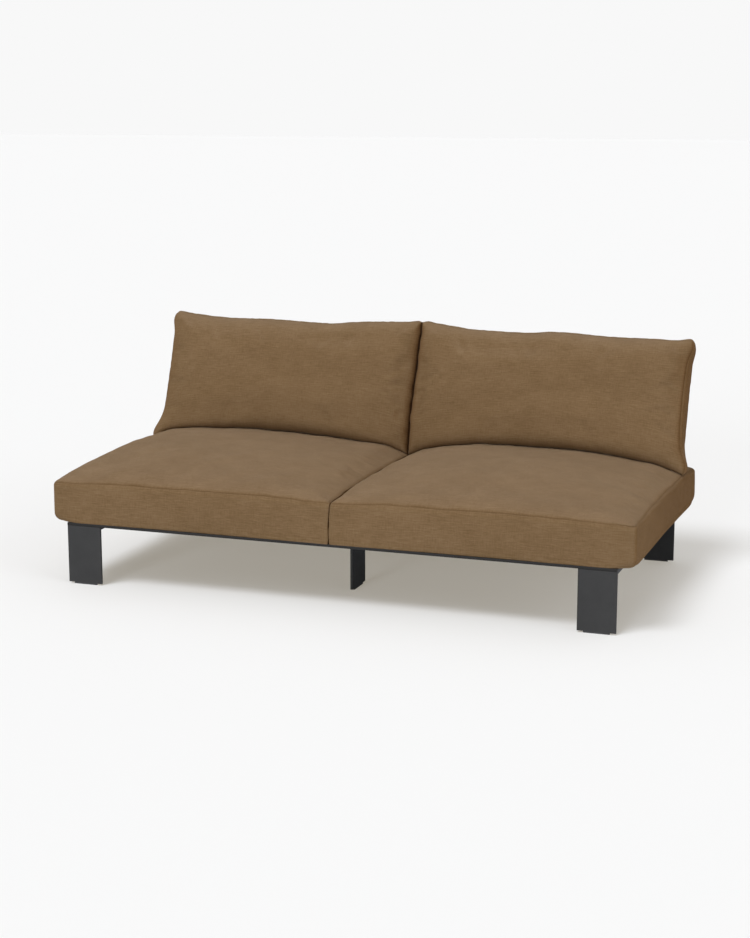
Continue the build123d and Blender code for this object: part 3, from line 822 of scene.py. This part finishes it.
def lean_back(points, middle_x):
    """From the cushion's own directions (across, up its face, forward) to the frame's."""
    sine, cosine = math.sin(BACK_LEAN), math.cos(BACK_LEAN)
    forward = points[:, 2] - BACK_EDGE
    x = middle_x + points[:, 0]
    y = BACK_FOOT[0] - forward * cosine + points[:, 1] * sine
    z = BACK_FOOT[1] + forward * sine + points[:, 1] * cosine
    return np.stack([x, y, z], -1)


def seat_on(points, seats):
    """Lift whatever lies inside the seat cushions onto them and tuck the face in just above them."""
    trees = []
    for seat in seats:
        polygons = [tuple(p.vertices) for p in seat.data.polygons]
        trees.append(BVHTree.FromPolygons([v.co for v in seat.data.vertices], polygons))
    down = Vector((0, 0, -1))
    reach, tuck = BACK_UNDERCUT
    for n, point in enumerate(points):
        if point[2] > BACK_CONTACT_TOP:
            continue
        for tree in trees:
            hit = tree.ray_cast(Vector((point[0], point[1], ABOVE_SEATS)), down)[0]
            if hit is None:
                continue
            clear = point[2] - hit.z - BACK_GAP
            if clear < reach:
                points[n, 1] += tuck * (1 - max(clear, 0) / reach) ** 2
            points[n, 2] = max(point[2], hit.z + BACK_GAP)
    return points


def meet(points, places, side, half_u):
    """The inner walls of the two sides press against each other along one wavy line and never cross it."""
    sign = SIDES[side]
    y, z = points[:, 1], points[:, 2]
    wave = np.sin(z * 2 * math.pi / MEETING_PITCH + MEETING_PHASE)
    ripple = np.sin(z * 2 * math.pi / MEETING_RIPPLE["pitch"] + y * MEETING_RIPPLE["slant"])
    middle = MEETING_WAVE * (wave + MEETING_RIPPLE["share"] * ripple)
    from_wall = half_u + sign * places[:, 0]
    loose = MEETING_LOOSENESS
    ease = MEETING_EASE * (loose["even"] + drift(points[:, 1:], loose["size"], loose["seed"] + int(sign)))
    clear = np.maximum(sign * (points[:, 0] - middle), MEETING_GAP)
    return middle + sign * np.minimum(clear, MEETING_GAP + ease + from_wall * MEETING_SLOPE)


def make_back(side, seats):
    """One side's back cushion, leaning over the seats."""
    low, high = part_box(f"{side}_back_cover")
    half_u, half_v = (high.x - low.x) / 2, BACK_HEIGHT / 2
    middle_x = (low.x + high.x) / 2

    def form(places):
        return back_form(places, side, half_u, half_v)

    points, places, woven = soft_cover(form, "back", side, half_u, half_v)
    points = lean_back(points, middle_x)
    points[:, 1] = np.minimum(points[:, 1], BACK_STOP)
    points[:, 0] = meet(points, places, side, half_u)
    points = seat_on(points, seats)
    piece = make_mesh(f"{side}_back_cushion", points, *woven)
    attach(piece, f"{side}_back_cushion")
    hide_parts(f"{side}_back_cover", f"{side}_back_fill")
    return piece


# ---- Materials


class Nodes:
    """A node tree with short ways to add and join nodes."""

    def __init__(self, tree):
        self.tree = tree

    def add(self, kind, **values):
        node = self.tree.nodes.new(kind)
        for key, value in values.items():
            setattr(node, key, value)
        return node

    def join(self, source, target):
        self.tree.links.new(source, target)

    def feed(self, socket, value):
        """Join a socket to another one, or give it a number or a colour."""
        if isinstance(value, bpy.types.NodeSocket):
            self.join(value, socket)
        else:
            socket.default_value = (*value, 1.0) if isinstance(value, tuple) else value

    def feed_all(self, node, values):
        for socket, value in zip(node.inputs, values):
            self.feed(socket, value)
        return node.outputs[0]

    def math(self, operation, *values):
        return self.feed_all(self.add("ShaderNodeMath", operation=operation), values)

    def spread(self, value, low, high, to_low=0.0, to_high=1.0):
        return self.feed_all(self.add("ShaderNodeMapRange"), (value, low, high, to_low, to_high))

    def mix(self, factor, a, b, blend="MIX"):
        node = self.add("ShaderNodeMix", data_type="RGBA", blend_type=blend)
        for index, value in ((0, factor), (6, a), (7, b)):
            self.feed(node.inputs[index], value)
        return node.outputs[2]

    def noise(self, vector, scale, detail, roughness):
        node = self.add("ShaderNodeTexNoise")
        node.inputs["Scale"].default_value = scale
        node.inputs["Detail"].default_value = detail
        node.inputs["Roughness"].default_value = roughness
        self.join(vector, node.inputs["Vector"])
        return node.outputs[0]

    def grain(self, vector, scale, detail, roughness, turn=(0, 0, 0)):
        """A noise stretched along its axes."""
        node = self.add("ShaderNodeMapping")
        node.inputs["Scale"].default_value = scale
        node.inputs["Rotation"].default_value = turn
        self.join(vector, node.inputs["Vector"])
        return self.noise(node.outputs[0], 1.0, detail, roughness)

    def wave(self, value, pitch):
        return self.math("SINE", self.math("MULTIPLY", value, 2 * math.pi / pitch))

    def tones(self, value, pair, band=NOISE_BAND):
        """A colour between the two of a pair, as a value goes through its band."""
        return self.mix(self.spread(value, *band), *pair)

    def bump(self, height, distance, strength):
        node = self.add("ShaderNodeBump")
        node.inputs["Strength"].default_value = strength
        node.inputs["Distance"].default_value = distance
        self.join(height, node.inputs["Height"])
        return node.outputs[0]

    def axes(self, vector):
        node = self.add("ShaderNodeSeparateXYZ")
        self.join(vector, node.inputs[0])
        return node.outputs

    def object_place(self):
        return self.add("ShaderNodeTexCoord").outputs["Object"]


class Finish(Nodes):
    """A new material with the inputs of its shader to set."""

    def __init__(self, name):
        self.material = bpy.data.materials.new(name)
        self.material.use_nodes = True
        super().__init__(self.material.node_tree)
        self.shader = self.tree.nodes["Principled BSDF"]

    def set(self, **values):
        for key, value in values.items():
            name = key.replace("_", " ").title().replace("Ior", "IOR")
            self.feed(self.shader.inputs[name], value)


def fabric_tone(n, noises):
    """Two brown yarns and paler thick ones between them, worn unevenly."""
    shares = FABRIC_SHARES
    tone = n.math("MULTIPLY", noises["thread"], shares["thread"])
    tone = n.math("MULTIPLY_ADD", noises["slub"], shares["slub"], tone)
    tone = n.math("ADD", tone, n.math("MULTIPLY", noises["warp"], shares["warp"]))
    base = n.tones(tone, FABRIC_YARNS, FABRIC_TONE_BAND)
    base = n.mix(n.spread(noises["thick"], *FABRIC_THICK_BAND), base, FABRIC_THICK_YARN)
    for name, (band, dull, pale) in FABRIC_WEAR.items():
        base = n.mix(1.0, base, n.tones(noises[name], (dull, pale), band), "MULTIPLY")
    return base


def fabric_faces(n, base):
    """Paler with painted sheen where the fabric faces up, darker with painted shade toward the rear where it
    faces sideways.
    """
    facing = n.axes(n.add("ShaderNodeNewGeometry").outputs["Normal"])
    # Painted sheen: paler and greyer where the fabric faces up
    painted_top_sheen = n.mix(1.0, base, FABRIC_PAINTED_TOP_SHEEN["times"], "MULTIPLY")
    painted_top_sheen = n.mix(1.0, painted_top_sheen, FABRIC_PAINTED_TOP_SHEEN["plus"], "ADD")
    base = n.mix(n.spread(facing[2], *FABRIC_FACING_BAND), base, painted_top_sheen)
    # Painted shade: darker toward the rear on the faces that look sideways
    depth = n.axes(n.object_place())[1]
    painted_side_shade = n.tones(depth, FABRIC_PAINTED_SIDE_TONES, FABRIC_PAINTED_SIDE_DEPTH)
    sideways = n.spread(n.math("ABSOLUTE", facing[0]), *FABRIC_FACING_BAND)
    return n.mix(sideways, base, n.mix(1.0, base, painted_side_shade, "MULTIPLY"))


def fabric_seams(n, base):
    """Darker beside the seams and darkest in them: partly the seams' own darker tone, partly painted shade
    in and beside them.
    """
    seam = n.add("ShaderNodeAttribute", attribute_name="seam").outputs["Fac"]
    shaded = n.mix(1.0, base, SEAM_SHADE, "MULTIPLY")
    for near, far, most in SEAM_SHADES:
        base = n.mix(n.spread(seam, near, far, most, 0.0), base, shaded)
    return base


def fabric_relief(n, weave, noises):
    """Crossing yarns, with slubs and thick yarns standing out."""
    directions = n.axes(weave)
    across, up = (n.wave(directions[axis], pitch) for axis, pitch in enumerate(WEAVE_PITCHES))
    height = n.math("MULTIPLY_ADD", n.math("MULTIPLY", across, up), 0.5, 0.5)
    height = n.math("MULTIPLY_ADD", noises["slub"], WEAVE_RELIEF["slub"], height)
    thread = n.math("ADD", noises["thread"], noises["thick"])
    height = n.math("MULTIPLY_ADD", thread, WEAVE_RELIEF["thread"], height)
    return n.bump(height, WEAVE_RELIEF["depth"], WEAVE_RELIEF["strength"])


def fabric_material():
    """Slubbed plain weave in brown yarns, with its seams pressed in and a faint dusty sheen, painted shade
    in and beside the seams and toward the rear of its sides, and painted sheen where it faces up.
    """
    n = Finish("cover_fabric")
    weave = n.add("ShaderNodeUVMap", uv_map="weave").outputs[0]
    noises = {name: n.grain(weave, *given) for name, given in FABRIC_NOISES.items()}
    n.set(base_color=fabric_seams(n, fabric_faces(n, fabric_tone(n, noises))))
    n.set(roughness=n.spread(noises["slub"], *FABRIC_ROUGHNESS))
    n.set(normal=fabric_relief(n, weave, noises))
    n.set(specular_ior_level=0.0, **FABRIC_SHEEN)
    return n.material


def coating_material():
    """Anthracite powder coat: satin, finely pebbled, and darker with painted shade on the rails and all
    above them.
    """
    n = Finish("powder_coated_aluminium")
    place = n.object_place()
    fine, cloud = (n.noise(place, *COATING_NOISES[name]) for name in ("fine", "cloud"))
    base = n.tones(cloud, COATING_TONES)
    speck = n.spread(fine, *COATING_SPECK["band"])
    base = n.mix(speck, base, COATING_SPECK["colour"])
    # Painted shade: darker on everything above a height just under the rails' top, where the cushions shade
    # the frame
    painted_shade = n.mix(1.0, base, COATING_PAINTED_SHADE["colour"], "MULTIPLY")
    base = n.mix(n.spread(n.axes(place)[2], *COATING_PAINTED_SHADE["heights"]), base, painted_shade)
    n.set(base_color=base, roughness=n.spread(cloud, *NOISE_BAND, *COATING_ROUGHNESS))
    n.set(normal=n.bump(fine, *COATING_RELIEF))
    n.set(specular_ior_level=COATING_SPECULAR)
    return n.material


def metal_material(name):
    """Zinc-plated steel with faint turned marks, or dark nickel with scratches, both with dull spots."""
    stretched, even, tones, rough, relief = METALS[name]
    n = Finish(name)
    marks, cloud = n.grain(n.object_place(), *stretched), n.noise(n.object_place(), *even)
    n.set(base_color=n.mix(cloud, *tones), metallic=1.0)
    n.set(roughness=n.spread(marks, *NOISE_BAND, *rough), normal=n.bump(marks, *relief))
    return n.material


def plastic_material(name):
    """Moulded plastic with a fine texture, a little cloudy and scuffed."""
    dark, light, pebble, rough = PLASTICS[name]
    n = Finish(name)
    place = n.object_place()
    grain = n.noise(place, pebble, *PLASTIC_PEBBLE)
    cloud = n.noise(place, *PLASTIC_CLOUD)
    scuff = n.spread(n.grain(place, *PLASTIC_SCUFF), *PLASTIC_SCUFF_BAND)
    base = n.tones(cloud, (dark, light))
    n.set(base_color=n.mix(scuff, base, PLASTIC_SCUFF_TONE))
    n.set(roughness=n.spread(grain, *NOISE_BAND, *rough), normal=n.bump(grain, *PLASTIC_RELIEF))
    return n.material


def filling_material(name):
    """Open-cell or fibrous filling: pale, matt and pitted."""
    dark, light, cell = FILLINGS[name]
    n = Finish(name)
    pore = n.grain(n.object_place(), cell, *FILLING_NOISE)
    n.set(base_color=n.tones(pore, (dark, light)), roughness=FILLING_ROUGHNESS)
    n.set(normal=n.bump(pore, *FILLING_RELIEF))
    return n.material


def zip_axes(n, side, row, lean):
    """Distance along a zip and up it from its middle, on its leaning plane."""
    low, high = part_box(f"{side}_{row}_zip")
    move = n.add("ShaderNodeMapping")
    move.inputs["Location"].default_value = -(low + high) / 2
    n.join(n.object_place(), move.inputs["Vector"])
    turned = n.add("ShaderNodeVectorRotate", rotation_type="X_AXIS")
    turned.inputs["Angle"].default_value = lean
    n.join(move.outputs[0], turned.inputs["Vector"])
    axes = n.axes(turned.outputs[0])
    return axes[0], axes[2]


def zip_stitches(n, along, from_middle):
    """1 on the stitches of the two rows that hold the tape."""
    off_row = n.math("ABSOLUTE", n.math("SUBTRACT", from_middle, ZIP_STITCH["place"]))
    on_row = n.math("LESS_THAN", off_row, ZIP_STITCH["half"])
    stitched = n.math("GREATER_THAN", n.wave(along, ZIP_STITCH["pitch"]), ZIP_STITCH["gap"])
    return n.math("MULTIPLY", on_row, stitched)


def zip_material(side, row, lean):
    """Woven tape with the teeth of a closed coil along its middle."""
    n = Finish(f"{side}_{row}_zip_tape")
    along, up = zip_axes(n, side, row, lean)
    from_middle = n.math("ABSOLUTE", up)
    tooth, yarn = n.wave(along, ZIP_TOOTH_PITCH), n.wave(up, ZIP_YARN_PITCH)
    on_coil = n.math("LESS_THAN", from_middle, ZIP_COIL_HALF)
    height = n.math("MULTIPLY", yarn, ZIP_YARN_RELIEF)
    height = n.math("ADD", n.math("MULTIPLY", tooth, on_coil), height)
    tape = n.tones(n.noise(n.object_place(), *ZIP_CLOUD), ZIP_TAPE_TONES)
    base = n.mix(on_coil, tape, n.tones(tooth, ZIP_COIL_TONES, (-1.0, 1.0)))
    n.set(base_color=n.mix(zip_stitches(n, along, from_middle), base, ZIP_THREAD))
    n.set(roughness=n.spread(on_coil, 0.0, 1.0, *ZIP_ROUGHNESS))
    n.set(normal=n.bump(height, *ZIP_RELIEF))
    return n.material


def paint(piece, material):
    piece.data.materials.clear()
    piece.data.materials.append(material)


def node_slot(name):
    """A CAD node's material slot, from what it is."""
    for ending, slot in SLOT_ENDINGS.items():
        if name.endswith(ending):
            return slot
    return "powder_coated_aluminium"


def finish_frame():
    """Give each node of the frame the finish of its material slot."""
    made = {"powder_coated_aluminium": coating_material()}
    makers = (METALS, metal_material), (PLASTICS, plastic_material), (FILLINGS, filling_material)
    for table, make in makers:
        made.update({name: make(name) for name in table})
    for name, node in nodes.items():
        if node_slot(name) in made:
            paint(node, made[node_slot(name)])
    for side in SIDES:
        paint(nodes[f"{side}_seat_zip"], zip_material(side, "seat", 0.0))
        paint(nodes[f"{side}_back_zip"], zip_material(side, "back", BACK_LEAN))


# ---- Studio


def make_floor(level):
    """A pale floor that renders at the backdrop's tone where nothing shades it, with light, warm shadows."""
    n = Finish("floor")
    own = [(FLOOR_SHOWN - FLOOR_LIFT * glow) / (1 - FLOOR_LIFT) / level for glow in FLOOR_GLOW]
    n.set(base_color=tuple(own), roughness=FLOOR_ROUGHNESS, specular_ior_level=0.0)
    glow = n.add("ShaderNodeEmission")
    n.feed(glow.inputs["Color"], FLOOR_GLOW)
    lift = n.math("MULTIPLY", n.add("ShaderNodeLightPath").outputs["Is Camera Ray"], FLOOR_LIFT)
    mixed = n.feed_all(n.add("ShaderNodeMixShader"), (lift, n.shader.outputs[0], glow.outputs[0]))
    n.join(mixed, n.tree.nodes["Material Output"].inputs["Surface"])
    mesh = bpy.data.meshes.new("floor")
    corners = [(x * FLOOR_HALF, y * FLOOR_HALF, 0) for x, y in ((-1, -1), (1, -1), (1, 1), (-1, 1))]
    mesh.from_pydata(corners, [], [(0, 1, 2, 3)])
    floor = placed("floor", mesh)
    paint(floor, n.material)


def sky_strength(n):
    """Strength of the soft sky by direction: even, and brighter overhead and behind."""
    place = n.axes(n.add("ShaderNodeTexCoord").outputs["Generated"])
    rear, up = (n.math("MAXIMUM", place[axis], 0.0) for axis in (1, 2))
    total = n.math("MULTIPLY_ADD", n.math("MULTIPLY", up, up), SKY["overhead"], SKY["even"])
    return n.math("MULTIPLY_ADD", rear, SKY["rear"], total)


def make_world():
    """A soft sky as light, and the backdrop's tone where the camera sees past the floor."""
    world = bpy.data.worlds.new("studio")
    bpy.context.scene.world = world
    world.use_nodes = True
    n = Nodes(world.node_tree)
    n.tree.nodes.clear()
    sky, shown = (n.add("ShaderNodeBackground") for _ in range(2))
    n.feed(sky.inputs["Color"], (1.0, 1.0, 1.0))
    n.join(sky_strength(n), sky.inputs["Strength"])
    n.feed(shown.inputs["Color"], (FLOOR_SHOWN, FLOOR_SHOWN, FLOOR_SHOWN))
    rays = n.add("ShaderNodeLightPath").outputs
    seen = n.math("MAXIMUM", rays["Is Camera Ray"], rays["Is Glossy Ray"])
    seen = n.math("MAXIMUM", seen, rays["Is Transmission Ray"])
    mixed = n.feed_all(n.add("ShaderNodeMixShader"), (seen, sky.outputs[0], shown.outputs[0]))
    n.join(mixed, n.add("ShaderNodeOutputWorld").inputs["Surface"])


def make_lamp(name):
    """A wide soft lamp. Returns what it adds to a level surface."""
    given = LAMPS[name]
    elevation = math.radians(given["elevation"])
    lamp = bpy.data.lights.new(name, "SUN")
    lamp.energy = given["strength"]
    lamp.angle = math.radians(given["spread"])
    azimuth = math.radians(given["azimuth"])
    placed(name, lamp).rotation_euler = (math.pi / 2 - elevation, 0, azimuth)
    return given["strength"] * math.sin(elevation) / math.pi


def make_camera():
    data = bpy.data.cameras.new("camera")
    data.lens = CAMERA_LENS
    data.clip_end = CAMERA_REACH
    camera = placed("camera", data)
    camera.location = CAMERA_PLACE
    camera.rotation_euler = (math.pi / 2 - CAMERA_PITCH, 0, CAMERA_YAW)
    bpy.context.scene.camera = camera


finish_frame()
fabric = fabric_material()
seats = [make_seat(side) for side in SIDES]
backs = [make_back(side, seats) for side in SIDES]
covers = [nodes[f"{side}_{row}_cover"] for side in SIDES for row in ("seat", "back")]
for cushion in seats + backs + covers:
    paint(cushion, fabric)
sky_level = sum(SKY[name] * SKY_ON_LEVEL[name] for name in SKY)
make_floor(sky_level + sum(make_lamp(name) for name in LAMPS))
make_world()
make_camera()
bpy.context.scene.view_settings.view_transform = "Standard"
